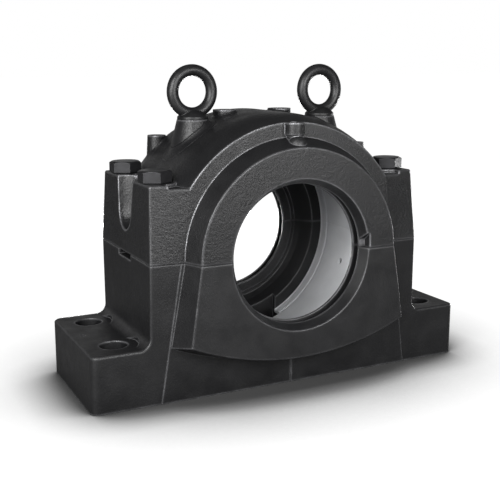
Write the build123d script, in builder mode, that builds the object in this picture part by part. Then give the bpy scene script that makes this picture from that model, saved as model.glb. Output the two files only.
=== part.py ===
from build123d import *
import os
from math import asin, cos, degrees, radians, sin, sqrt, tan

# Split plummer block housing, empty: a cast base and cap bolted together round a
# bearing seat, with lifting eyes, dowels and screw plugs.
# Frame: origin at the bottom centre of the base, +X along the feet, +Y to the rear
# along the shaft axis, +Z up. Millimetres.

# ---- driving dimensions -----------------------------------------------------

# bearing seat and what lies beside it, inside the housing
seat_diameter = 280.0
seat_half_width = 60.0  # up to the ring groove, each side of the middle
ring_groove_width = 3.0
ring_groove_depth = 2.5
outer_land_width = 13.0  # seat surface beyond the ring groove
relief_width = 2.0
relief_depth = 1.5
shoulder_height = 16.0  # from the seat in to the cast shoulder
cavity_width = 22.0  # shoulder to cast end wall
cavity_corner = 6.0
wall_pad_width = 14.0  # raised ring round the seal bore, inside
wall_pad_height = 3.0

# seal bores
seal_bore_radius = 86.0
seal_groove_depth = 9.0
seal_groove_width = 11.0
inner_land_width = 3.5
outer_lip_land = 2.0
lip_depth = 13.0
lip_flare = 6.8

# casting round the seat
floor_thickness = 30.0  # below the seat, in the base
barrel_wall = 31.0  # over the seat, in the cap
crown_flat = 50.0  # half width of the cylindrical middle of the barrel
crown_drop = 10.0  # loss of radius from there to the end face
seal_boss_height = 26.5  # seal boss in front of the end face
seal_boss_step = 18.0  # barrel end radius to the root of the seal boss
seal_boss_taper = 11.0  # root radius to front radius
panel_step_top = 2.5  # end panel in front of the corners of the body, at the joint
panel_step_foot = 1.0  # the same, at the underside
panel_relief = 0.8  # fine step along the side edges of the end panel, in the base
base_draft_offset = 7.0  # body depth lost from joint to underside, each side
flare_angle = 8.12  # side edges of the end panel and of the seal boss, in the base
boss_corner_z = 74.0  # lower corners of the seal boss
boss_belly_z = 42.0  # lowest point of the seal boss
boss_root_drop = 5.0  # underside of the boss, lower at its root

# feet
foot_overhang = 70.0
foot_height = 70.0
foot_hole_radius = 17.0
foot_hole_from_body = 33.0
foot_hole_from_end = 35.5  # hole centre in from the long edges of the foot
spot_face_radius = 30.0
foot_root_radius = 13.0
foot_corner_radius = 10.0
edge_radius = 3.0
dimple_radius = 3.0
dimple_tip_radius = 0.5
dimple_from_body = 55.0

# cap bolts, M24
bolt_radius = 12.0
bolt_length = 140.0
bolt_head_flats = 36.0
bolt_head_height = 15.0  # with the washer face
head_crown_share = 0.95  # of the width across flats
head_crown_angle = 30.0
head_room = 1.5  # round the corners of a head, so that it can be turned
washer_face_radius = 16.8
washer_face_height = 0.8
bolt_clearance = 1.0
bolt_wall = 11.5  # metal between the seat and the tapped hole
bolt_side_cover = 21.5  # bolt axis to the side of the body
bolt_end_cover = 31.5  # bolt axis to the end of the tower, at its top
tapped_hole_extra = 6.0
thread_gap = 0.1
tip_chamfer = 1.5

# cap
tower_height = 92.0
side_draft = 2.0
end_draft = 5.0  # of the outer corners; beside the end panel the towers stand upright
web_drop = 4.0
pad_radius = 26.0
pad_strip = 22.0
tower_edge_radius = 2.5
recess_tip_radius = 24.0
recess_floor = 27.5  # lowest point of the side recess above the joint
recess_taper = 9.5

# joint
joint_chamfer = 1.0
pry_slot_half_width = 24.5
pry_slot_depth = 14.0
pry_slot_height = 7.0
dowel_radius = 5.0
dowel_length = 24.0
dowel_offset = 8.0  # the two dowels are offset lengthways, so the cap fits one way
dowel_from_seat = 16.0
dowel_gap = 0.05
pin_chamfer = 1.0

# eye bolts, M20
eye_x = 92.0
eye_boss_rise = 17.4
eye_boss_radius = 20.0
eye_boss_taper = 14.0
eye_boss_depth = 46.0
eye_shank_radius = 10.0
eye_shank_length = 30.0
eye_collar_radius = 19.5
eye_collar_edge = 3.5
eye_dome_height = 9.0  # over the edge of the collar
eye_ring_radius = 27.2
eye_bar_radius = 7.4
eye_height = 35.0
eye_turn = 5.0
eye_hole_extra = 5.0

# lubrication points
top_pad_x = 40.0
top_pad_y = 18.0
top_pad_radius = 15.5
top_pad_rise = 5.7
top_pad_depth = 17.0
left_boss_place = (-116.0, 70.0)
left_boss_rise = 14.0
right_boss_place = (113.0, -58.0)
right_boss_rise = 0.8
shoulder_boss_radius = 12.0
shoulder_boss_taper = 3.0
duct_radius = 3.0
plug_radius = 6.5
plug_length = 10.0
plug_socket_flats = 6.0
plug_socket_depth = 5.0
plug_sink = 0.5
plug_gap = 0.1
plug_chamfer = 0.6
lug_radius = 12.0
lug_from_face = 4.0
lug_drop = 17.0
lug_neck = 2.5
lug_neck_depth = 2.0
seal_plug_radius = 5.0
ball_radius = 11.5
ball_from_face = 11.0
ball_drop = 27.0

# base: grease chamber, drain, sensor hole, centre mark
chamber_half_length = 62.0
chamber_floor = 26.0
chamber_wall = 8.0
drain_x = 40.0
drain_z = 31.0
drain_plug_radius = 4.8
sensor_y = 10.0
sensor_below_axis = 47.5
sensor_radius = 4.0
mark_width = 1.2
mark_depth = 0.6

# relief in the seal lip, just over the joint
relief_notch_height = 20.0
relief_notch_reach = 1.5

# ---- derived places ---------------------------------------------------------

seat_radius = seat_diameter / 2
joint_z = floor_thickness + seat_radius
shoulder_radius = seat_radius - shoulder_height
groove_end = seat_half_width + ring_groove_width
land_end = groove_end + outer_land_width
shoulder_y = land_end + relief_width
end_wall_y = shoulder_y + cavity_width
seal_inner_y = end_wall_y - wall_pad_height
wall_pad_radius = seal_bore_radius + wall_pad_width
end_wall_radius = wall_pad_radius + cavity_corner
groove_in_y = seal_inner_y + inner_land_width
groove_out_y = groove_in_y + seal_groove_width
lip_in_y = groove_out_y + outer_lip_land
face_y = lip_in_y + lip_depth  # front of the seal bosses
panel_y = face_y - seal_boss_height
body_y = panel_y - panel_step_top
crown_radius = seat_radius + barrel_wall
end_radius = crown_radius - crown_drop
root_radius = end_radius - seal_boss_step
boss_radius = root_radius - seal_boss_taper
boss_slope = seal_boss_taper / seal_boss_height
flare = tan(radians(flare_angle))

bolt_x = seat_radius + bolt_wall + bolt_radius
body_x = bolt_x + bolt_side_cover
foot_x = body_x + foot_overhang
body_foot_y = body_y - base_draft_offset

pad_z = joint_z + tower_height
web_z = pad_z - web_drop
head_corner_radius = bolt_head_flats / sqrt(3)
top_x = body_x - tower_height * tan(radians(side_draft))
top_y = body_y - tower_height * tan(radians(end_draft))
bolt_y = top_y - bolt_end_cover
bolt_places = [(sx * bolt_x, sy * bolt_y) for sx in (-1, 1) for sy in (-1, 1)]
shoulder_x = sqrt(end_radius**2 - (web_z - joint_z) ** 2)  # barrel end meets the web
panel_x = shoulder_x + (web_z - joint_z) * flare
panel_top_x = panel_x - tower_height * flare
panel_foot_x = panel_x + joint_z * flare
panel_foot_y = body_foot_y + panel_step_foot

foot_hole_x = body_x + foot_hole_from_body
foot_hole_y = body_foot_y - foot_hole_from_end
foot_holes = [(sx * foot_hole_x, sy * foot_hole_y) for sx in (-1, 1) for sy in (-1, 1)]

crown_arc_span = panel_y - crown_flat
crown_arc_radius = (crown_arc_span**2 + crown_drop**2) / (2 * crown_drop)


def crown_z(x, y):
    """Height of the barrel surface over a point of the plan."""
    past = max(abs(y) - crown_flat, 0.0)
    radius = crown_radius - (crown_arc_radius - sqrt(crown_arc_radius**2 - past**2))
    return joint_z + sqrt(radius**2 - x**2)


eye_seat_z = crown_z(eye_x, 0) + eye_boss_rise
top_pad_z = crown_z(top_pad_x, top_pad_y) + top_pad_rise
left_boss_z = crown_z(*left_boss_place) + left_boss_rise
right_boss_z = crown_z(*right_boss_place) + right_boss_rise
lug_y = panel_y + lug_from_face
lug_top_z = joint_z + end_radius
dowel_x = seat_radius + dowel_from_seat
dowels = {"left": (-dowel_x, dowel_offset), "right": (dowel_x, -dowel_offset)}
chamber_end_y = panel_foot_y - chamber_wall
sensor_z = joint_z - sensor_below_axis
bore_axis = Axis((0, 0, joint_z), (0, 1, 0))
over = 1.0  # how far a cut runs past the face that it opens


def end_outline(corner_x, corner_y, flat_x, flat_y):
    """Plan of a level through the casting: flat in the middle of each end, falling back to the corners."""
    front = [(-corner_x, -corner_y), (-flat_x, -flat_y), (flat_x, -flat_y), (corner_x, -corner_y)]
    return front + [(-x, -y) for x, y in front]


# ---- the bore: one turned shape, taken out of base and cap ------------------

half_bore = [
    (seat_radius, seat_half_width),
    (seat_radius + ring_groove_depth, seat_half_width),
    (seat_radius + ring_groove_depth, groove_end),
    (seat_radius, groove_end),
    (seat_radius, land_end),
    (seat_radius + relief_depth, land_end),
    (seat_radius + relief_depth, shoulder_y),
    (shoulder_radius, shoulder_y),
    (end_wall_radius + cavity_corner, end_wall_y - cavity_corner),
    (end_wall_radius, end_wall_y),
    (wall_pad_radius, end_wall_y),
    (wall_pad_radius, seal_inner_y),
    (seal_bore_radius, seal_inner_y),
    (seal_bore_radius, groove_in_y),
    (seal_bore_radius + seal_groove_depth, groove_in_y),
    (seal_bore_radius + seal_groove_depth, groove_out_y),
    (seal_bore_radius + over, groove_out_y),
    (seal_bore_radius + over, lip_in_y),
    (seal_bore_radius + over + lip_flare, face_y),
    (seal_bore_radius + over + lip_flare, face_y + over),
]
rear_side = [(0, face_y + over)] + half_bore[::-1]
front_side = [(r, -y) for r, y in half_bore] + [(0, -face_y - over)]

with BuildPart() as bore:
    with BuildSketch(Plane.XY.offset(joint_z)):
        with BuildLine():
            Polyline(*(rear_side + front_side), close=True)
        make_face()
    revolve(axis=bore_axis)

# ---- housing base -----------------------------------------------------------


def boss_outline(y):
    """Half outline sizes of the seal boss of the base, in a plane across the shaft."""
    back = face_y - y
    return boss_radius + boss_slope * back, boss_root_drop * back / seal_boss_height


boss_root_y = body_foot_y  # the boss starts inside the end panel

with BuildPart() as base_boss:
    for y in (boss_root_y, face_y):
        half_top, drop = boss_outline(y)
        corner_z = boss_corner_z - drop
        corner_x = half_top + flare * (joint_z - corner_z)
        belly_z = boss_belly_z - drop
        with BuildSketch(Plane.XZ.offset(y)):
            with BuildLine():
                left_low = (-corner_x, corner_z)
                right_low = (corner_x, corner_z)
                Polyline(left_low, (-half_top, joint_z), (half_top, joint_z), right_low)
                ThreePointArc(right_low, (0, belly_z), left_low)
            make_face()
    loft()

with BuildPart() as base_ends:
    # end panels, leaning out toward the joint, with the seal bosses on them
    with BuildSketch(Plane.XY):
        Rectangle(2 * panel_foot_x, 2 * panel_foot_y)
    with BuildSketch(Plane.XY.offset(joint_z)):
        Rectangle(2 * panel_x, 2 * panel_y)
    loft()
    add(base_boss.part)
    add(mirror(base_boss.part, about=Plane.XZ, mode=Mode.PRIVATE))

    # softened edges of the seal bosses and the chamfer round the joint
    boss_edges = base_ends.edges().filter_by(lambda e: e.bounding_box().size.Y < 0.01).filter_by(
        lambda e: abs(abs(e.center().Y) - face_y) < 0.01 and e.center().Z < joint_z - 0.01
    )
    fillet(boss_edges, edge_radius / 2)
    ends_top = base_ends.faces().sort_by(Axis.Z)[-1]
    chamfer(ends_top.outer_wire().edges(), joint_chamfer)

with BuildPart() as base:
    # feet and body in one outline, both long sides leaning out toward the joint
    with BuildSketch(Plane.XZ):
        with BuildLine():
            Polyline(
                (-foot_x, 0),
                (-foot_x, foot_height),
                (-body_x, foot_height),
                (-body_x, joint_z),
                (body_x, joint_z),
                (body_x, foot_height),
                (foot_x, foot_height),
                (foot_x, 0),
                close=True,
            )
        make_face()
    extrude(amount=body_y + over, both=True)
    with BuildSketch(Plane.YZ):
        with BuildLine():
            Polyline(
                (-body_foot_y, 0), (body_foot_y, 0), (body_y, joint_z), (-body_y, joint_z), close=True
            )
        make_face()
    extrude(amount=foot_x + over, both=True, mode=Mode.INTERSECT)

    # roots between feet and body, rounded corners, then every outer edge of the feet and body
    roots = base.edges().filter_by(Axis.Y).filter_by(
        lambda e: abs(abs(e.center().X) - body_x) < 0.01 and abs(e.center().Z - foot_height) < 0.01
    )
    fillet(roots, foot_root_radius)
    foot_corners = base.edges().filter_by(
        lambda e: abs(e.center().X) > foot_x - 0.01 and e.bounding_box().size.Z > foot_height / 2
    )
    fillet(foot_corners, foot_corner_radius)
    outer = base.edges().filter_by(
        lambda e: body_x - 0.01 < abs(e.center().X)
        and abs(e.center().Y) > body_foot_y - foot_corner_radius
        and e.center().Z > foot_height - 0.01
    )
    ends = base.edges().filter_by(Axis.Y).filter_by(
        lambda e: abs(e.center().X) > foot_x - 0.01 and e.center().Z > foot_height - 0.01
    )
    fillet(outer + ends, edge_radius)

    # shallow wedges from the corners to the end panels, a fine step behind them
    wedge_x = body_x - edge_radius
    with BuildSketch(Plane.XY):
        with BuildLine():
            flat = (panel_foot_x + panel_relief, panel_foot_y - panel_relief)
            Polyline(*end_outline(wedge_x, body_foot_y, *flat), close=True)
        make_face()
    with BuildSketch(Plane.XY.offset(joint_z)):
        with BuildLine():
            flat = (panel_x + panel_relief, panel_y - panel_relief)
            Polyline(*end_outline(wedge_x, body_y, *flat), close=True)
        make_face()
    loft()
    joint_face = base.faces().sort_by(Axis.Z)[-1]
    chamfer(joint_face.outer_wire().edges(), joint_chamfer)
    add(base_ends.part)

    add(bore.part, mode=Mode.SUBTRACT)

    # grease chamber below the cavity, one at each end, from the ring groove outward
    chamber_top_z = joint_z - seal_bore_radius
    for side in (-1, 1):
        chamber_y = side * (groove_end + chamber_end_y) / 2
        with Locations((0, chamber_y, (chamber_floor + chamber_top_z) / 2)):
            Box(
                2 * chamber_half_length,
                chamber_end_y - groove_end,
                chamber_top_z - chamber_floor,
                mode=Mode.SUBTRACT,
            )

    # foot holes with spot faces that bite into the root radius
    for x, y in foot_holes:
        with Locations((x, y, foot_height)):
            Hole(foot_hole_radius, foot_height)
        with Locations((x, y, foot_height + foot_root_radius / 2 + over)):
            Cylinder(spot_face_radius, foot_root_radius + 2 * over, mode=Mode.SUBTRACT)

    # drill point for later dowelling, in the middle of each foot
    for side in (-1, 1):
        with Locations((side * (body_x + dimple_from_body), 0, foot_height - dimple_radius / 2)):
            Cone(dimple_tip_radius, dimple_radius, dimple_radius, mode=Mode.SUBTRACT)

    # tapped holes for the cap bolts and reamed holes for the dowels
    tapped_bottom_z = pad_z - bolt_length - tapped_hole_extra
    for x, y in bolt_places:
        with Locations((x, y, joint_z)):
            Hole(bolt_radius + thread_gap, joint_z - tapped_bottom_z)
    for x, y in dowels.values():
        with Locations((x, y, joint_z)):
            Hole(dowel_radius + dowel_gap, dowel_length / 2 + over)

    # slots for a pry bar, at both ends of the joint
    for side in (-1, 1):
        slot_x = side * (body_x - (pry_slot_depth - over) / 2)
        with Locations((slot_x, 0, joint_z - (pry_slot_height - over) / 2)):
            Box(
                pry_slot_depth + over,
                2 * pry_slot_half_width,
                pry_slot_height + over,
                mode=Mode.SUBTRACT,
            )

    # sensor hole from the right side to the seat, with a seat for its plug
    with BuildSketch(Plane.YZ.offset(body_x + over)):
        with Locations((sensor_y, sensor_z)):
            Circle(sensor_radius)
    extrude(amount=-(body_x - shoulder_radius), mode=Mode.SUBTRACT)
    with BuildSketch(Plane.YZ.offset(body_x + over)):
        with Locations((sensor_y, sensor_z)):
            Circle(plug_radius + plug_gap)
    extrude(amount=-(plug_length + plug_sink + over), mode=Mode.SUBTRACT)

    # drain of the rear grease chamber
    with BuildSketch(Plane.XZ.offset(-panel_y)):
        with Locations((drain_x, drain_z)):
            Circle(drain_plug_radius + plug_gap)
    extrude(amount=panel_y - chamber_end_y + over, mode=Mode.SUBTRACT)

    # fine centre marks from the underside up to the boss, front and rear
    for side in (-1, 1):
        with Locations((0, side * panel_foot_y, boss_belly_z / 2)):
            Box(mark_width, 2 * mark_depth, boss_belly_z, mode=Mode.SUBTRACT)

base.part.label = "housing_base"
os.makedirs("parts", exist_ok=True)
export_step(base.part, "parts/housing_base.step")

# ---- housing cap ------------------------------------------------------------

# side recess between the bolt towers: a cone that narrows down to a ball end
tip_z = joint_z + recess_floor + recess_tip_radius
taper = radians(recess_taper)
recess_top_z = pad_z + 2 * over
recess_top_radius = recess_tip_radius / cos(taper) + (recess_top_z - tip_z) * tan(taper)
with BuildPart() as side_recess:
    with BuildSketch(Plane.XZ):
        with BuildLine():
            tangent_point = (recess_tip_radius * cos(taper), tip_z - recess_tip_radius * sin(taper))
            floor_point = (0, tip_z - recess_tip_radius)
            half_turn = radians(45 - recess_taper / 2)
            mid_point = (recess_tip_radius * sin(half_turn), tip_z - recess_tip_radius * cos(half_turn))
            ThreePointArc(floor_point, mid_point, tangent_point)
            Polyline(tangent_point, (recess_top_radius, recess_top_z), (0, recess_top_z), floor_point)
        make_face()
    revolve(axis=Axis.Z)

# barrel: cylindrical middle, falling away to the end faces
with BuildPart() as barrel:
    with BuildSketch(Plane.XY.offset(joint_z)):
        with BuildLine():
            arc_mid_y = (crown_flat + panel_y) / 2
            arc_mid_r = crown_z(0, arc_mid_y) - joint_z
            Polyline((end_radius, panel_y), (0, panel_y), (0, -panel_y), (end_radius, -panel_y))
            ThreePointArc((end_radius, -panel_y), (arc_mid_r, -arc_mid_y), (crown_radius, -crown_flat))
            Line((crown_radius, -crown_flat), (crown_radius, crown_flat))
            ThreePointArc((crown_radius, crown_flat), (arc_mid_r, arc_mid_y), (end_radius, panel_y))
        make_face()
    revolve(axis=bore_axis)
    split(bisect_by=Plane.XY.offset(web_z), keep=Keep.TOP)

# seal boss: one half cone, from inside the end panel to the front
with BuildPart() as cap_boss:
    with BuildSketch(Plane.XY.offset(joint_z)):
        with BuildLine():
            root_y = panel_y - panel_step_top
            root_r = root_radius + boss_slope * panel_step_top
            Polyline(
                (0, -root_y), (root_r, -root_y), (boss_radius, -face_y), (0, -face_y), close=True
            )
        make_face()
    revolve(axis=bore_axis)
    split(bisect_by=Plane.XY.offset(joint_z), keep=Keep.TOP)

# half-round lug over the seal boss, with a necked lower end and a ball in front of it
neck_z = lug_top_z - lug_drop
with BuildPart() as seal_lug:
    with BuildSketch(Plane.XZ):
        with BuildLine():
            Polyline(
                (0, lug_top_z),
                (lug_radius, lug_top_z),
                (lug_radius, neck_z + lug_neck),
                (lug_radius - lug_neck_depth, neck_z),
                (lug_radius - lug_neck_depth, neck_z - 2 * lug_neck),
                (lug_radius, neck_z - 3 * lug_neck),
                (lug_radius, neck_z - 2 * lug_radius),
                (0, neck_z - 2 * lug_radius),
                close=True,
            )
        make_face()
    revolve(axis=Axis.Z)

with BuildPart() as cap:
    # four towers in one drafted block, flush with the end panel in the middle of each end
    with BuildSketch(Plane.XY.offset(joint_z)):
        with BuildLine():
            Polyline(*end_outline(body_x, body_y, panel_x, panel_y), close=True)
        make_face()
    with BuildSketch(Plane.XY.offset(pad_z)):
        with BuildLine():
            Polyline(*end_outline(top_x, top_y, panel_top_x, panel_y), close=True)
        make_face()
    loft()

    # web between barrel and pads, a little lower than the bolt pads
    with BuildSketch(Plane.XY.offset(web_z)):
        Rectangle(2 * (top_x - pad_strip), 2 * (panel_y + over))
        with Locations(*bolt_places):
            Circle(pad_radius, mode=Mode.SUBTRACT)
    extrude(amount=web_drop + over, mode=Mode.SUBTRACT)
    corners = cap.edges().filter_by(
        lambda e: e.bounding_box().size.Z > tower_height / 2 and abs(e.center().X) > top_x - 0.01
    )
    rims = cap.edges().filter_by(
        lambda e: e.bounding_box().size.Z < 0.01
        and e.center().Z > web_z - 0.01
        and (abs(e.center().X) > top_x - 0.01 or abs(e.center().Y) > top_y - 0.01)
    )
    fillet(corners + rims, tower_edge_radius)

    # end panel between the flaring side edges, round at the top
    with BuildSketch(Plane.XZ):
        with BuildLine():
            start = degrees(asin((web_z - joint_z) / end_radius))
            left_foot = (-panel_x, joint_z)
            right_foot = (panel_x, joint_z)
            Polyline((-shoulder_x, web_z), left_foot, right_foot, (shoulder_x, web_z))
            CenterArc((0, joint_z), end_radius, start, 180 - 2 * start)
        make_face()
    extrude(amount=panel_y, both=True)
    add(barrel.part)
    add(cap_boss.part)
    add(mirror(cap_boss.part, about=Plane.XZ, mode=Mode.PRIVATE))

    # room for the bolt heads, cut into the foot of the barrel
    with Locations(*[(x, y, pad_z + bolt_head_height) for x, y in bolt_places]):
        Cylinder(head_corner_radius + head_room, 2 * bolt_head_height, mode=Mode.SUBTRACT)

    # cone bosses under the eye bolts
    eye_foot_radius = eye_boss_radius + eye_boss_depth * tan(radians(eye_boss_taper))
    eye_boss_z = eye_seat_z - eye_boss_depth / 2
    with Locations((-eye_x, 0, eye_boss_z), (eye_x, 0, eye_boss_z)):
        Cone(eye_foot_radius, eye_boss_radius, eye_boss_depth)

    # round pads on top and flat-topped bosses on the shoulders
    for x in (-top_pad_x, top_pad_x):
        with Locations((x, top_pad_y, top_pad_z - top_pad_depth / 2)):
            Cylinder(top_pad_radius, top_pad_depth)
    for (x, y), top in ((left_boss_place, left_boss_z), (right_boss_place, right_boss_z)):
        depth = top - crown_z(abs(x) + shoulder_boss_radius + over, y) + over
        foot = shoulder_boss_radius + depth * tan(radians(shoulder_boss_taper))
        with Locations((x, y, top - depth / 2)):
            Cone(foot, shoulder_boss_radius, depth)

    # lubrication lugs of the two seals
    for side in (-1, 1):
        with Locations((0, side * lug_y, 0)):
            add(seal_lug.part)
        with Locations((0, side * (panel_y + ball_from_face), lug_top_z - ball_drop)):
            Sphere(ball_radius)

    # chamfer round the joint, then the softened edges of the seal bosses
    under = cap.faces().sort_by(Axis.Z)[0]
    chamfer(under.outer_wire().edges(), joint_chamfer)
    rings = cap.edges().filter_by(GeomType.CIRCLE).filter_by(
        lambda e: abs(abs(e.center().Y) - face_y) < 0.01 and e.length > face_y
    )
    fillet(rings, edge_radius / 2)

    add(bore.part, mode=Mode.SUBTRACT)
    with Locations((-body_x, 0, 0), (body_x, 0, 0)):
        add(side_recess.part, mode=Mode.SUBTRACT)

    # bolt, dowel and eye bolt holes
    for x, y in bolt_places:
        with Locations((x, y, pad_z)):
            Hole(bolt_radius + bolt_clearance, pad_z - joint_z + over)
    for x, y in dowels.values():
        with Locations((x, y, joint_z)):
            Cylinder(dowel_radius + dowel_gap, dowel_length + 2 * over, mode=Mode.SUBTRACT)
    for x in (-eye_x, eye_x):
        with Locations((x, 0, eye_seat_z)):
            Hole(eye_shank_radius + thread_gap, eye_shank_length + eye_hole_extra)

    # lubrication ducts down to the seat, with plug seats
    ducts = [(-top_pad_x, top_pad_y, top_pad_z), (top_pad_x, top_pad_y, top_pad_z)]
    ducts += [(*left_boss_place, left_boss_z), (*right_boss_place, right_boss_z)]
    for x, y, top in ducts:
        with Locations((x, y, top)):
            Hole(duct_radius, top - joint_z - seal_bore_radius)
            Hole(plug_radius + plug_gap, plug_length + plug_sink)
    for side in (-1, 1):
        with Locations((0, side * lug_y, lug_top_z)):
            Hole(duct_radius, lug_top_z - joint_z - seal_bore_radius)
            Hole(seal_plug_radius + plug_gap, plug_length + plug_sink)

    # small three-cornered reliefs in the seal lip, one at each end, just over the joint
    lip_x = seal_bore_radius + over + lip_flare
    for side in (-1, 1):
        with BuildSketch(Plane.YZ.offset(side * (lip_x + relief_notch_reach))):
            with BuildLine():
                Polyline(
                    (-side * (face_y + over), joint_z - over),
                    (-side * (face_y + over), joint_z + relief_notch_height),
                    (-side * lip_in_y, joint_z + relief_notch_height / 2),
                    (-side * lip_in_y, joint_z - over),
                    close=True,
                )
            make_face()
        extrude(amount=-side * (relief_notch_reach + lip_flare), mode=Mode.SUBTRACT)

cap.part.label = "housing_cap"
export_step(cap.part, "parts/housing_cap.step")

# ---- cap bolts --------------------------------------------------------------

head_crown_radius = head_crown_share * bolt_head_flats / 2
crown_slope = tan(radians(head_crown_angle))
crown_fall = (head_corner_radius + over - head_crown_radius) * crown_slope
head_under_z = pad_z + washer_face_height
head_top_z = pad_z + bolt_head_height


def cap_bolt(x, y, name):
    """Hex head cap bolt with a washer face, standing on its seat at a point of the plan."""
    with BuildPart() as bolt:
        # head, corners fore and aft, its top edge turned off at thirty degrees
        with BuildSketch(Plane.XY.offset(head_under_z)):
            with Locations((x, y)):
                RegularPolygon(head_corner_radius, 6, rotation=30)
        extrude(amount=head_top_z - head_under_z)
        with BuildSketch(Plane.XZ.offset(-y)):
            with BuildLine():
                Polyline(
                    (x, head_under_z),
                    (x + head_corner_radius + over, head_under_z),
                    (x + head_corner_radius + over, head_top_z - crown_fall),
                    (x + head_crown_radius, head_top_z),
                    (x, head_top_z),
                    close=True,
                )
            make_face()
        revolve(axis=Axis((x, y, 0), (0, 0, 1)), mode=Mode.INTERSECT)
        # washer face and shank
        with BuildSketch(Plane.XY.offset(pad_z)):
            with Locations((x, y)):
                Circle(washer_face_radius)
        extrude(amount=washer_face_height)
        with BuildSketch(Plane.XY.offset(pad_z - bolt_length)):
            with Locations((x, y)):
                Circle(bolt_radius)
        extrude(amount=bolt_length)
        chamfer(bolt.edges().sort_by(Axis.Z)[0], tip_chamfer)
    bolt.part.label = name
    export_step(bolt.part, f"parts/{name}.step")


sides = {-1: "left", 1: "right"}
ends = {-1: "front", 1: "rear"}
for sx, side_name in sides.items():
    for sy, end_name in ends.items():
        cap_bolt(sx * bolt_x, sy * bolt_y, f"cap_bolt_{end_name}_{side_name}")

# ---- eye bolts --------------------------------------------------------------


dome_radius = (eye_collar_radius**2 + eye_dome_height**2) / (2 * eye_dome_height)
dome_top_z = eye_collar_edge + eye_dome_height
dome_half_turn = asin(eye_collar_radius / dome_radius) / 2


def eye_bolt(x, turn, name):
    """Lifting eye bolt with a domed collar, its ring turned a little about its own axis."""
    with BuildPart() as eye:
        # ring, cut off flat where it would run below the collar
        with BuildSketch(Plane.XY.offset(eye_height)):
            with Locations((eye_ring_radius, 0)):
                Circle(eye_bar_radius)
        revolve(axis=Axis((0, 0, eye_height), (0, 1, 0)))
        split(bisect_by=Plane.XY, keep=Keep.TOP)
        # collar, dome and shank in one turned profile
        with BuildSketch(Plane.XZ):
            with BuildLine():
                Polyline(
                    (0, dome_top_z),
                    (0, -eye_shank_length),
                    (eye_shank_radius - tip_chamfer, -eye_shank_length),
                    (eye_shank_radius, tip_chamfer - eye_shank_length),
                    (eye_shank_radius, 0),
                    (eye_collar_radius, 0),
                    (eye_collar_radius, eye_collar_edge),
                )
                dome_mid_x = dome_radius * sin(dome_half_turn)
                dome_mid_z = dome_top_z - dome_radius * (1 - cos(dome_half_turn))
                ThreePointArc(
                    (eye_collar_radius, eye_collar_edge), (dome_mid_x, dome_mid_z), (0, dome_top_z)
                )
            make_face()
        revolve(axis=Axis.Z)
    placed = eye.part.moved(Location((x, 0, eye_seat_z), (0, 0, turn)))
    placed.label = name
    export_step(placed, f"parts/{name}.step")


eye_bolt(-eye_x, eye_turn, "eye_bolt_left")
eye_bolt(eye_x, eye_turn, "eye_bolt_right")

# ---- dowels and plugs -------------------------------------------------------


def dowel_pin(x, y, name):
    """Straight dowel pin across the joint, both ends chamfered."""
    with BuildPart() as pin:
        with Locations((x, y, joint_z)):
            Cylinder(dowel_radius, dowel_length)
        chamfer(pin.edges().filter_by(GeomType.CIRCLE), pin_chamfer)
    pin.part.label = name
    export_step(pin.part, f"parts/{name}.step")


for side_name, (x, y) in dowels.items():
    dowel_pin(x, y, f"dowel_pin_{side_name}")


def screw_plug(outer, radius, name):
    """Headless screw plug with a hex socket; the plane lies on its outer end, looking out."""
    with BuildPart() as plug:
        with BuildSketch(outer):
            Circle(radius)
        extrude(amount=-plug_length)
        chamfer(plug.edges().filter_by(GeomType.CIRCLE), plug_chamfer)
        with BuildSketch(outer):
            RegularPolygon(plug_socket_flats / sqrt(3) * radius / plug_radius, 6)
        extrude(amount=-plug_socket_depth, mode=Mode.SUBTRACT)
    plug.part.label = name
    export_step(plug.part, f"parts/{name}.step")


def upright(x, y, top):
    """Plane of a plug that is sunk below a flat top."""
    return Plane((x, y, top - plug_sink), z_dir=(0, 0, 1))


screw_plug(upright(-top_pad_x, top_pad_y, top_pad_z), plug_radius, "lubrication_plug_left")
screw_plug(upright(top_pad_x, top_pad_y, top_pad_z), plug_radius, "lubrication_plug_right")
screw_plug(upright(*left_boss_place, left_boss_z), plug_radius, "shoulder_plug_left")
screw_plug(upright(*right_boss_place, right_boss_z), plug_radius, "shoulder_plug_right")
screw_plug(upright(0, -lug_y, lug_top_z), seal_plug_radius, "seal_plug_front")
screw_plug(upright(0, lug_y, lug_top_z), seal_plug_radius, "seal_plug_rear")
sensor_outer = Plane((body_x - plug_sink, sensor_y, sensor_z), z_dir=(1, 0, 0))
screw_plug(sensor_outer, plug_radius, "sensor_plug")
drain_face_y = panel_foot_y + drain_z * (panel_y - panel_foot_y) / joint_z
drain_outer = Plane((drain_x, drain_face_y - plug_sink, drain_z), z_dir=(0, 1, 0))
screw_plug(drain_outer, drain_plug_radius, "drain_plug")
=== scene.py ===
import bpy
import numpy as np
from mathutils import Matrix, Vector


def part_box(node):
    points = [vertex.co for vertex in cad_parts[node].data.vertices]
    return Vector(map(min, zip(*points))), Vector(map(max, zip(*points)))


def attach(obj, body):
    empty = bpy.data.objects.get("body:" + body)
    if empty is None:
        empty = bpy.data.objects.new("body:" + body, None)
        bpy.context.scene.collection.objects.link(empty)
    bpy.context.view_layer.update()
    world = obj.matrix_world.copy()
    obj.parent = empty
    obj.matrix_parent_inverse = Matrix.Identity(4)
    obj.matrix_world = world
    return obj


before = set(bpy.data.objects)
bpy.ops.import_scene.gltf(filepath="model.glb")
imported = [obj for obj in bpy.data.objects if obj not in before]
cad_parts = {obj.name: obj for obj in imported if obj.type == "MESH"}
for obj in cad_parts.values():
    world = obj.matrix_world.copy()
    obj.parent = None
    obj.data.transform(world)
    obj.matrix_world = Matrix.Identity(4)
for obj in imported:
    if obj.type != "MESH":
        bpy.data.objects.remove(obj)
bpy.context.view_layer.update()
print("frame loaded:", len(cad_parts), "nodes")

# the shaft axis runs along Y at the height of the joint
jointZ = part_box("housing_base")[1].z


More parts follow.
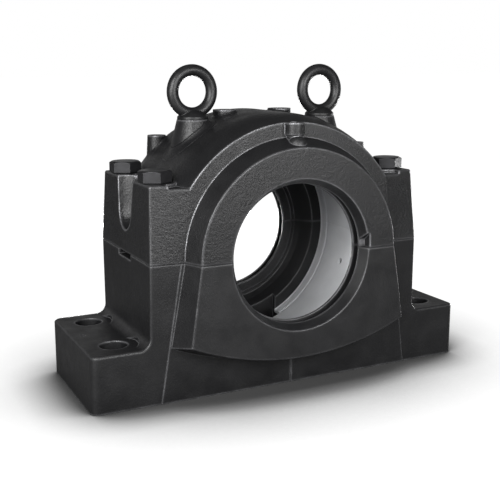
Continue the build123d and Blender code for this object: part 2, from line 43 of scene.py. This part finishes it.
class Nodes:
    # a node tree under construction: each call adds a node and links or sets its inputs

    def __init__(self, tree):
        self.tree = tree
        tree.nodes.clear()

    # an input is given by its name, with _ for a space, or as i and its number
    def add(self, kind, settings=None, **inputs):
        node = self.tree.nodes.new(kind)
        for name, value in (settings or {}).items():
            setattr(node, name, value)
        for name, value in inputs.items():
            numbered = name[0] == "i" and name[1:].isdigit()
            self.put(node.inputs[int(name[1:]) if numbered else name.replace("_", " ")], value)
        return node

    def put(self, socket, value):
        if isinstance(value, bpy.types.Node):
            value = value.outputs[0]
        if isinstance(value, bpy.types.NodeSocket):
            self.tree.links.new(value, socket)
        else:
            socket.default_value = value

    def math(self, operation, a, b=0.0):
        return self.add("ShaderNodeMath", {"operation": operation}, i0=a, i1=b)

    def dot(self, a, b):
        return self.add("ShaderNodeVectorMath", {"operation": "DOT_PRODUCT"}, i0=a, i1=b).outputs["Value"]

    # maps a range onto another and holds the ends
    def spread(self, value, fromLow, fromHigh, toLow, toHigh, kind="LINEAR"):
        return self.add("ShaderNodeMapRange", {"interpolation_type": kind}, Value=value,
                        From_Min=fromLow, From_Max=fromHigh, To_Min=toLow, To_Max=toHigh)

    # 1 where the value lies between low and high, with soft sides
    def within(self, value, low, high, soft):
        rise = self.spread(value, low - soft, low + soft, 0.0, 1.0, "SMOOTHSTEP")
        fall = self.spread(value, high - soft, high + soft, 1.0, 0.0, "SMOOTHSTEP")
        return self.math("MULTIPLY", rise, fall)

    def noise(self, coords, scale, detail, rough=0.5, warp=0.0):
        return self.add("ShaderNodeTexNoise", None, Vector=coords, Scale=scale, Detail=detail,
                        Roughness=rough, Distortion=warp).outputs["Fac"]

    # how open a point is within a reach, from 0 to 1
    def openness(self, reach, samples, **settings):
        node = self.add("ShaderNodeAmbientOcclusion", {"samples": samples, **settings}, Distance=reach)
        return node.outputs["AO"]

    # the surface direction as if every edge were rounded by the radius
    def rounded(self, radius):
        return self.add("ShaderNodeBevel", {"samples": 8}, Radius=radius).outputs["Normal"]

    def ramp(self, value, stops):
        node = self.add("ShaderNodeValToRGB", None, Fac=value)
        elements = node.color_ramp.elements
        while len(elements) < len(stops):
            elements.new(0.5)
        for element, (place, shade) in zip(elements, stops):
            element.position = place
            element.color = (*shade, 1.0)
        return node.outputs["Color"]

    def bump(self, height, distance, strength, normal):
        return self.add("ShaderNodeBump", None, Height=height, Distance=distance, Strength=strength,
                        Normal=normal).outputs["Normal"]


def newMaterial(name):
    material = bpy.data.materials.new(name)
    material.use_nodes = True
    return material, Nodes(material.node_tree)


def shades(color, *factors):
    return [tuple(factor * c for c in color) for factor in factors]


paint = {  # lengths in metres
    "color": (0.0072, 0.0072, 0.0078),
    "roughLow": 0.36,
    "roughHigh": 0.52,
    "roughScale": 40.0,  # patches to the metre, here and below
    "cloudScale": 11.0,
    "grainScale": 430.0,
    "grainDepth": 0.0011,
    "lumpScale": 150.0,
    "lumpDepth": 0.0014,
    "capSkin": 0.85,  # strength of the cast skin on the cap
    "baseSkin": 0.32,  # and on the base, which is smoother
    "middleSkin": 0.55,  # share of either near the middle, away from the bolt towers
    "edgeRadius": 0.0022,
    "edgeHighlightColor": (0.24, 0.24, 0.25),  # a lighter metallic colour along the edges, a painted highlight
    "edgeMetal": 0.8,
    "edgeRough": 0.34,
    "edgeReach": 0.0035,  # outer edges are found this far into the metal
    "breakupScale": 55.0,
    "baseHighlightShare": 0.38,  # share of that on the base
    "jointHighlightShare": 0.45,  # and of that again along the joint
    "jointHalf": 0.003,
}

seat = {
    "radius": 0.140,
    "half": 0.0785,
    "inside": 0.0012,  # bare metal from this far within the seat's radius
    "outside": 0.0035,  # to this far outside it, down to the floor of the ring grooves
    "margin": 0.0003,
    "color": (0.84, 0.85, 0.87),
    "rough": 0.36,
    "metallic": 0.15,
    "marks": 2600.0,  # turning marks to the metre
    "markDepth": 0.00002,
    "stainScale": 14.0,
}


# Black semi-matt paint over a sand-cast skin, coarsest on the bolt towers. Edges get a lighter metallic
# colour,
# # a painted highlight for the light that rounded edges catch: sharp ones where rounding them would turn the
# # surface, outer ones where there is little metal behind them. Inside, the turned bearing seat is bare
# metal.
def makePaintedCasting(name, highlightShare):
    material, n = newMaterial(name)
    place = n.add("ShaderNodeTexCoord").outputs["Object"]
    x, y, z = n.add("ShaderNodeSeparateXYZ", None, Vector=place).outputs
    up = n.math("SUBTRACT", z, jointZ)
    radius = n.math("SQRT", n.math("ADD", n.math("MULTIPLY", x, x), n.math("MULTIPLY", up, up)))
    depth = n.math("ABSOLUTE", y)

    grain = n.noise(place, paint["grainScale"], 3.0, 0.6, 0.4)
    lumps = n.noise(place, paint["lumpScale"], 3.0, 0.55)
    cloud = n.noise(place, paint["cloudScale"], 4.0, 0.55)
    rounded = n.rounded(paint["edgeRadius"])
    turned = n.dot(rounded, n.add("ShaderNodeNewGeometry").outputs["Normal"])
    sharp = n.spread(turned, 0.999, 0.93, 0.0, 1.0)
    thin = n.openness(paint["edgeReach"], 8, inside=True, only_local=True)
    outer = n.spread(thin, 0.90, 0.62, 0.0, 1.0)
    # the painted edge highlight is weaker on the base and weaker again along the joint
    share = n.spread(up, -0.004, 0.004, paint["baseHighlightShare"] * highlightShare, highlightShare)
    atJoint = n.within(n.math("ABSOLUTE", up), -1.0, paint["jointHalf"], 0.001)
    share = n.math("MULTIPLY", share, n.spread(atJoint, 0.0, 1.0, 1.0, paint["jointHighlightShare"]))
    highlightBreakup = n.spread(n.noise(place, paint["breakupScale"], 3.0), 0.35, 0.6, 0.45, 1.0)
    # painted highlight: where the lighter edge colour goes
    paintedEdgeHighlight = n.math("MULTIPLY", n.math("MAXIMUM", sharp, outer), n.math("MULTIPLY", share, highlightBreakup))

    tone = n.ramp(cloud, list(zip((0.35, 0.7), shades(paint["color"], 0.85, 1.2))))
    # the edges take the lighter colour, which is a painted highlight
    tone = n.add("ShaderNodeMix", {"data_type": "RGBA"}, i0=paintedEdgeHighlight, i6=tone,
                 i7=(*paint["edgeHighlightColor"], 1.0)).outputs[2]
    patches = n.noise(place, paint["roughScale"], 4.0)
    rough = n.spread(patches, 0.3, 0.7, paint["roughLow"], paint["roughHigh"])
    rough = n.add("ShaderNodeMix", None, Factor=paintedEdgeHighlight, A=rough, B=paint["edgeRough"])
    outward = n.spread(n.math("ABSOLUTE", x), 0.10, 0.15, paint["middleSkin"], 1.0)
    coarse = n.math("MULTIPLY", n.spread(up, -0.004, 0.004, paint["baseSkin"], paint["capSkin"]), outward)
    normal = n.bump(lumps, paint["lumpDepth"], n.math("MULTIPLY", coarse, 0.5), rounded)
    normal = n.bump(grain, paint["grainDepth"], n.math("MULTIPLY", coarse, 0.75), normal)
    skin = n.add("ShaderNodeBsdfPrincipled", None, Base_Color=tone, Roughness=rough, Normal=normal,
                 Metallic=n.math("MULTIPLY", paintedEdgeHighlight, paint["edgeMetal"]))

    # the seat: turning marks run round the bore, so they change along the shaft axis only
    marks = n.add("ShaderNodeTexNoise", {"noise_dimensions": "1D"}, W=y, Scale=seat["marks"], Detail=2.0)
    seatNormal = n.bump(marks.outputs["Fac"], seat["markDepth"], 0.5, rounded)
    stains = n.noise(place, seat["stainScale"], 3.0)
    seatTone = n.ramp(stains, list(zip((0.3, 0.7), shades(seat["color"], 0.8, 1.0))))
    metal = n.add("ShaderNodeBsdfPrincipled", None, Base_Color=seatTone, Roughness=seat["rough"],
                  Metallic=seat["metallic"], Normal=seatNormal)
    low, high = seat["radius"] - seat["inside"], seat["radius"] + seat["outside"]
    inSeat = n.math("MULTIPLY", n.within(radius, low, high, seat["margin"]),
                    n.within(depth, -1.0, seat["half"], seat["margin"]))
    mixed = n.add("ShaderNodeMixShader", None, Fac=inSeat, i1=skin, i2=metal)
    n.add("ShaderNodeOutputMaterial", None, Surface=mixed)
    return material


steels = {  # colour, roughness, metallic, grains to the metre, grain depth, edge radius
    "blackenedBolt": ((0.028, 0.028, 0.030), 0.38, 0.55, 900.0, 0.00006, 0.0009),
    "forgedEye": ((0.007, 0.007, 0.0075), 0.42, 0.0, 520.0, 0.0003, 0.0016),
    "plugSteel": ((0.09, 0.09, 0.095), 0.38, 0.9, 900.0, 0.00004, 0.0005),
    "groundPin": ((0.5, 0.5, 0.52), 0.25, 1.0, 1500.0, 0.00002, 0.0004),
}


# Dark steel: a fine grain in the normal, slow patches in colour and roughness.
def makeSteel(name):
    color, rough, metallic, grainScale, grainDepth, edgeRadius = steels[name]
    material, n = newMaterial(name)
    place = n.add("ShaderNodeTexCoord").outputs["Object"]
    patches = n.noise(place, 60.0, 4.0, 0.6)
    tone = n.ramp(patches, list(zip((0.3, 0.7), shades(color, 0.75, 1.2))))
    roughness = n.spread(patches, 0.3, 0.7, rough - 0.06, rough + 0.08)
    normal = n.bump(n.noise(place, grainScale, 3.0), grainDepth, 0.5, n.rounded(edgeRadius))
    shader = n.add("ShaderNodeBsdfPrincipled", None, Base_Color=tone, Roughness=roughness,
                   Metallic=metallic, Normal=normal)
    n.add("ShaderNodeOutputMaterial", None, Surface=shader)
    return material


casting = makePaintedCasting("blackPaintedCasting", 1.0)
blend = makePaintedCasting("blackPaintedBlend", 0.0)
finishes = {  # by a word in the node's name
    "housing": casting,
    "cap_bolt": makeSteel("blackenedBolt"),
    "eye_bolt": makeSteel("forgedEye"),
    "plug": makeSteel("plugSteel"),
    "dowel": makeSteel("groundPin"),
}
for name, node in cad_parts.items():
    finish = next(made for key, made in finishes.items() if key in name)
    node.data.materials.clear()
    node.data.materials.append(finish)
print("materials on the CAD nodes")

barrel = {
    "radius": 0.171,
    "flatHalf": 0.050,  # cylindrical up to here, then falling away
    "fallRadius": 0.130,
}

rootFillets = {  # centre in plan, rise over the barrel, radius at the top, slope in degrees, blend size
    "eyeBossFilletLeft": ((-0.092, 0.0), 0.0174, 0.020, 14.0, 0.0085),
    "eyeBossFilletRight": ((0.092, 0.0), 0.0174, 0.020, 14.0, 0.0085),
    "topPadFilletLeft": ((-0.040, 0.018), 0.0057, 0.0155, 0.0, 0.0028),
    "topPadFilletRight": ((0.040, 0.018), 0.0057, 0.0155, 0.0, 0.0028),
    "shoulderBossFilletLeft": ((-0.116, 0.070), 0.014, 0.012, 3.0, 0.0035),
}
filletRays = 96
filletSteps = 13
filletSunk = 0.0012


# Height of the barrel: a cylinder about the shaft axis; past the flat middle its radius falls along an arc.
def barrelHeight(x, y):
    past = np.maximum(np.abs(y) - barrel["flatHalf"], 0.0)
    radius = barrel["radius"] - barrel["fallRadius"] + np.sqrt(barrel["fallRadius"] ** 2 - past**2)
    return jointZ + np.sqrt(radius**2 - x**2)


# Blend round the foot of a boss. At each angle the boss wall meets the barrel in one point. The profile is
# a parabola, (1-t)^2 A + 2t(1-t) B + t^2 C, from A up the wall to C out on the barrel, with that point as B,
# and it is closed by three points sunk into the casting.
def makeRootFillet(name):
    (cx, cy), rise, topRadius, degrees, size = rootFillets[name]
    slope = np.tan(np.radians(degrees))
    topZ = barrelHeight(cx, cy) + rise
    around = np.linspace(0.0, 2 * np.pi, filletRays, endpoint=False)[:, None]
    rayX, rayY = np.cos(around), np.sin(around)
    radius = np.full(around.shape, topRadius)
    for _ in range(40):  # the wall widens downward until it reaches the barrel
        radius = topRadius + slope * (topZ - barrelHeight(cx + radius * rayX, cy + radius * rayY))
    foot = barrelHeight(cx + radius * rayX, cy + radius * rayY)
    wallRise = size / np.hypot(1.0, slope)
    wallR, wallZ = radius - slope * wallRise, foot + wallRise
    outR = radius + size
    outZ = barrelHeight(cx + outR * rayX, cy + outR * rayY)
    t = np.linspace(0.0, 1.0, filletSteps)[None, :]
    profileR = (1 - t) ** 2 * wallR + 2 * t * (1 - t) * radius + t**2 * outR
    profileZ = (1 - t) ** 2 * wallZ + 2 * t * (1 - t) * foot + t**2 * outZ
    profileR = np.concatenate([profileR, outR, radius - filletSunk, wallR - filletSunk], axis=1)
    profileZ = np.concatenate([profileZ, outZ - filletSunk, foot - 2 * filletSunk, wallZ], axis=1)
    return addTube(name, cx + profileR * rayX, cy + profileR * rayY, profileZ, blend)


# A closed ring of quads from grids of points: rows go round the ring, columns round its section.
def addTube(name, xs, ys, zs, material):
    rows, columns = zs.shape
    points = np.stack([xs, ys, zs], axis=2).reshape(-1, 3)
    i, j = np.meshgrid(np.arange(rows), np.arange(columns), indexing="ij")
    nextI, nextJ = (i + 1) % rows, (j + 1) % columns
    here, after = i * columns, nextI * columns
    quads = np.stack([here + j, here + nextJ, after + nextJ, after + j], axis=2)
    mesh = bpy.data.meshes.new(name)
    mesh.from_pydata(points.tolist(), [], quads.reshape(-1, 4).tolist())
    mesh.polygons.foreach_set("use_smooth", np.ones(len(mesh.polygons), bool))
    mesh.materials.append(material)
    piece = bpy.data.objects.new(name, mesh)
    bpy.context.scene.collection.objects.link(piece)
    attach(piece, "root")
    return piece


for name in rootFillets:
    makeRootFillet(name)
print("cast blends round the bosses")

studio = {
    "zenith": 0.03,  # level of the surroundings high up
    "overhead": 0.22,  # more of it straight above
    "horizon": 0.12,  # and at eye height
    "backLevel": 0.40,  # more of it low down behind the housing
    "backTop": (0.16, 0.42),  # where that fades out, going up
    "backSide": (0.20, 0.97, 0.15),
    "floorColor": (0.22, 0.22, 0.22),
    "floorWhite": 1.0,
    "shadowReach": 0.30,
    "shadowFloor": 0.52,  # openness where the shadow is darkest
    "contactReach": 0.07,
    "contactDark": 0.30,  # share of the light left at the foot of a wall
    "lamps": [  # name, place, aim, width, height, watts
        ("frontPanel", (0.22, -1.20, 0.56), (0.0, 0.0, 0.26), 0.8, 0.56, 13.0),
        ("keyBox", (-0.98, -1.00, 0.80), (0.0, 0.0, 0.20), 0.7, 0.7, 21.0),
        ("leftStrip", (-1.25, -0.62, 0.34), (0.0, 0.0, 0.22), 0.30, 0.5, 7.0),
        ("rearLow", (0.36, 1.15, 0.036), (0.36, 0.0, 0.10), 1.0, 0.06, 11.0),
        ("rightLow", (1.30, 0.40, 0.036), (0.0, 0.40, 0.10), 0.8, 0.06, 7.0),
    ],
}


# White all round for the camera; for the object, dim overhead and brighter near the horizon and behind.
def makeWorld():
    world = bpy.data.worlds.new("studio")
    world.use_nodes = True
    n = Nodes(world.node_tree)
    direction = n.add("ShaderNodeTexCoord").outputs["Generated"]
    height = n.add("ShaderNodeSeparateXYZ", None, Vector=direction).outputs[2]
    level = n.spread(height, 0.0, 0.9, studio["horizon"], studio["zenith"], "SMOOTHSTEP")
    level = n.math("ADD", level, n.spread(height, 0.75, 1.0, 0.0, studio["overhead"], "SMOOTHSTEP"))
    facing = n.dot(direction, studio["backSide"])
    behind = n.math("MULTIPLY", n.spread(facing, 0.3, 1.0, 0.0, studio["backLevel"], "SMOOTHSTEP"),
                    n.spread(height, *studio["backTop"], 1.0, 0.0, "SMOOTHSTEP"))
    seen = n.add("ShaderNodeLightPath").outputs["Is Camera Ray"]
    strength = n.add("ShaderNodeMix", None, Factor=seen, A=n.math("ADD", level, behind), B=1.0)
    back = n.add("ShaderNodeBackground", None, Color=(1.0, 1.0, 1.0, 1.0), Strength=strength)
    n.add("ShaderNodeOutputWorld", None, Surface=back)
    bpy.context.scene.world = world


# The floor reads white to the camera and darkens smoothly toward whatever stands on it: a painted shadow, in
# its glow and, near contact, in its colour too.
def makeFloor():
    bpy.ops.mesh.primitive_plane_add(size=40.0)
    floor = bpy.context.object
    floor.name = "floor"
    material, n = newMaterial("paleFloor")
    seen = n.add("ShaderNodeLightPath").outputs["Is Camera Ray"]
    wide = n.openness(studio["shadowReach"], 32)
    contact = n.spread(n.openness(studio["contactReach"], 32), 0.5, 1.0, studio["contactDark"], 1.0)
    # painted contact shade in the floor's own colour
    tone = n.add("ShaderNodeVectorMath", {"operation": "SCALE"}, i0=studio["floorColor"], Scale=contact)
    diffuse = n.add("ShaderNodeBsdfDiffuse", None, Color=tone)
    # painted shadow in the floor's glow, by how open each point is
    lift = n.spread(wide, studio["shadowFloor"], 1.0, 0.0, studio["floorWhite"])
    lift = n.math("MULTIPLY", lift, contact)
    glow = n.add("ShaderNodeEmission", None, Strength=n.math("MULTIPLY", seen, lift))
    both = n.add("ShaderNodeAddShader", None, i0=diffuse, i1=glow)
    n.add("ShaderNodeOutputMaterial", None, Surface=both)
    floor.data.materials.append(material)


# Area lamps turned toward their aims: front, upper left, left, and two low strips that light the far sides.
def makeLamps():
    for name, place, aim, width, height, watts in studio["lamps"]:
        lamp = bpy.data.lights.new(name, "AREA")
        lamp.shape = "RECTANGLE"
        lamp.size, lamp.size_y = width, height
        lamp.energy = watts
        holder = bpy.data.objects.new(name, lamp)
        holder.visible_camera = False
        bpy.context.scene.collection.objects.link(holder)
        holder.location = place
        toward = np.array(aim) - np.array(place)
        holder.rotation_euler = (float(np.arctan2(np.hypot(*toward[:2]), -toward[2])), 0.0,
                                 float(np.arctan2(toward[1], toward[0]) - np.pi / 2))


camera = {
    "place": (-0.51988, -1.09552, 0.40645),
    "yaw": 0.4886,  # from +Y toward +X
    "pitch": 0.1245,  # downward
    "lens": 66.262,
    "shift": (-0.10, -0.15),
}


def makeCamera():
    data = bpy.data.cameras.new("camera")
    data.lens = camera["lens"]
    data.sensor_width = 36.0
    data.shift_x, data.shift_y = camera["shift"]
    data.clip_end = 100.0
    holder = bpy.data.objects.new("camera", data)
    bpy.context.scene.collection.objects.link(holder)
    holder.location = camera["place"]
    holder.rotation_euler = (np.pi / 2 - camera["pitch"], 0.0, -camera["yaw"])
    bpy.context.scene.camera = holder


makeWorld()
makeFloor()
makeLamps()
makeCamera()
bpy.context.scene.view_settings.view_transform = "Standard"
print("studio and camera")
